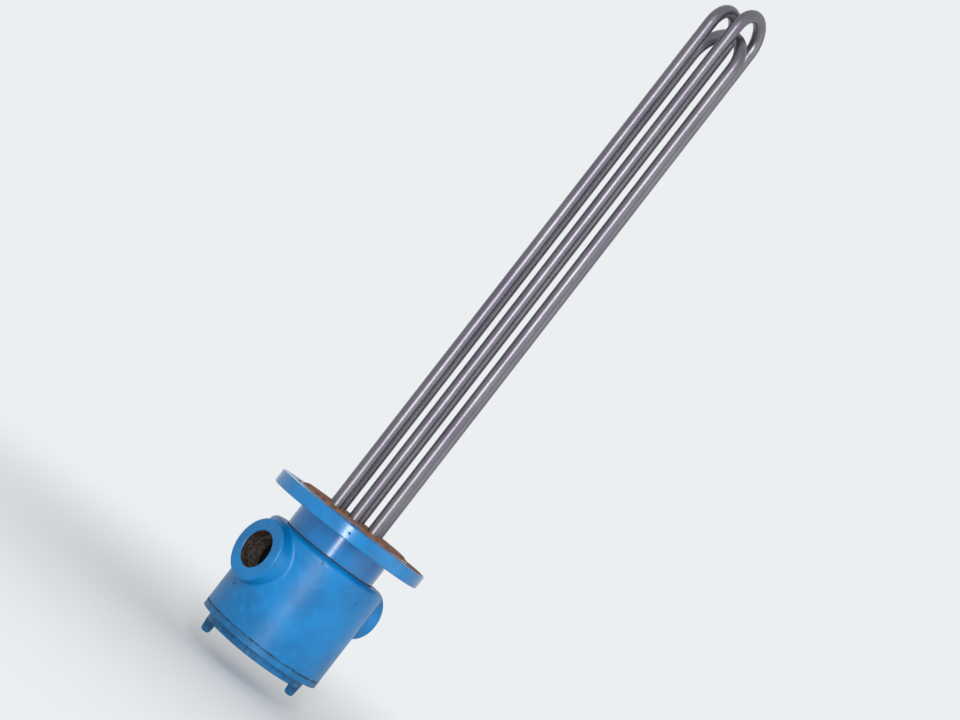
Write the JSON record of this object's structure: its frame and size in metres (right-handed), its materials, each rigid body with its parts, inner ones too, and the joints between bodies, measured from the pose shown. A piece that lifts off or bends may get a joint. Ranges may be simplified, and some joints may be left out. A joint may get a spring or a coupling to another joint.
{
  "type": "boiler heating element",
  "caption": "Flanged boiler immersion heater with three steel hairpin elements on a blue flange and a cast terminal housing with a screwed cover.",
  "frame": {"origin": "centre of the raised gasket face of the flange, where the heater is bolted to the boiler", "axes": "+Z along the elements towards their bends, -X out of the cable entry of the terminal housing"},
  "size_m": [0.1625, 0.16, 0.7557],
  "materials": {
    "blue_steel": "gloss",
    "blue_cast_iron": "satin",
    "sheath_steel": "satin",
    "screw_steel": "satin",
    "terminal_brass": "satin",
    "ceramic": "matte",
    "seal_rubber": "matte"
  },
  "bodies": {
    "heater": {"flange": "blue_steel", "leg_weld_beads": "sheath_steel", "element_left": "sheath_steel", "element_right": "sheath_steel", "element_wide": "sheath_steel", "bush_front_left": "ceramic", "bush_front_middle": "ceramic", "bush_front_right": "ceramic", "bush_rear_left": "ceramic", "bush_rear_middle": "ceramic", "bush_rear_right": "ceramic", "terminal_pin_front_left": "screw_steel", "terminal_pin_front_middle": "screw_steel", "terminal_pin_front_right": "screw_steel", "terminal_pin_rear_left": "screw_steel", "terminal_pin_rear_middle": "screw_steel", "terminal_pin_rear_right": "screw_steel", "wire_clamp_left": "terminal_brass", "wire_clamp_middle": "terminal_brass", "wire_clamp_right": "terminal_brass", "pin_nuts_lower": "terminal_brass", "pin_washers": "terminal_brass", "star_link": "terminal_brass", "pin_nuts_upper": "terminal_brass", "joint_gasket": "seal_rubber", "joint_screws": "screw_steel", "joint_spring_washers": "screw_steel", "terminal_housing": "blue_cast_iron", "stopping_plug": "terminal_brass", "plug_seal": "seal_rubber", "earth_screw": "terminal_brass", "earth_washer": "terminal_brass", "earth_clamp": "terminal_brass"},
    "seal_carrier": {"cover_seal": "seal_rubber"},
    "cover": {"housing_cover": "blue_cast_iron"}
  },
  "joints": [
    {"name": "cover_travel", "type": "slide", "parent": "heater", "child": "seal_carrier", "axis": [0, 0, -1], "range_m": [0, 0.012]},
    {"name": "cover_turn", "type": "hinge", "parent": "seal_carrier", "child": "cover", "pos_m": [0, 0, -0.1348], "axis": [0, 0, -1], "range_deg": [0, 2160]}
  ],
  "couplings": [
    {"joint": "cover_travel", "follows": "cover_turn", "m_per_rad": 0.00031831}
  ]
}
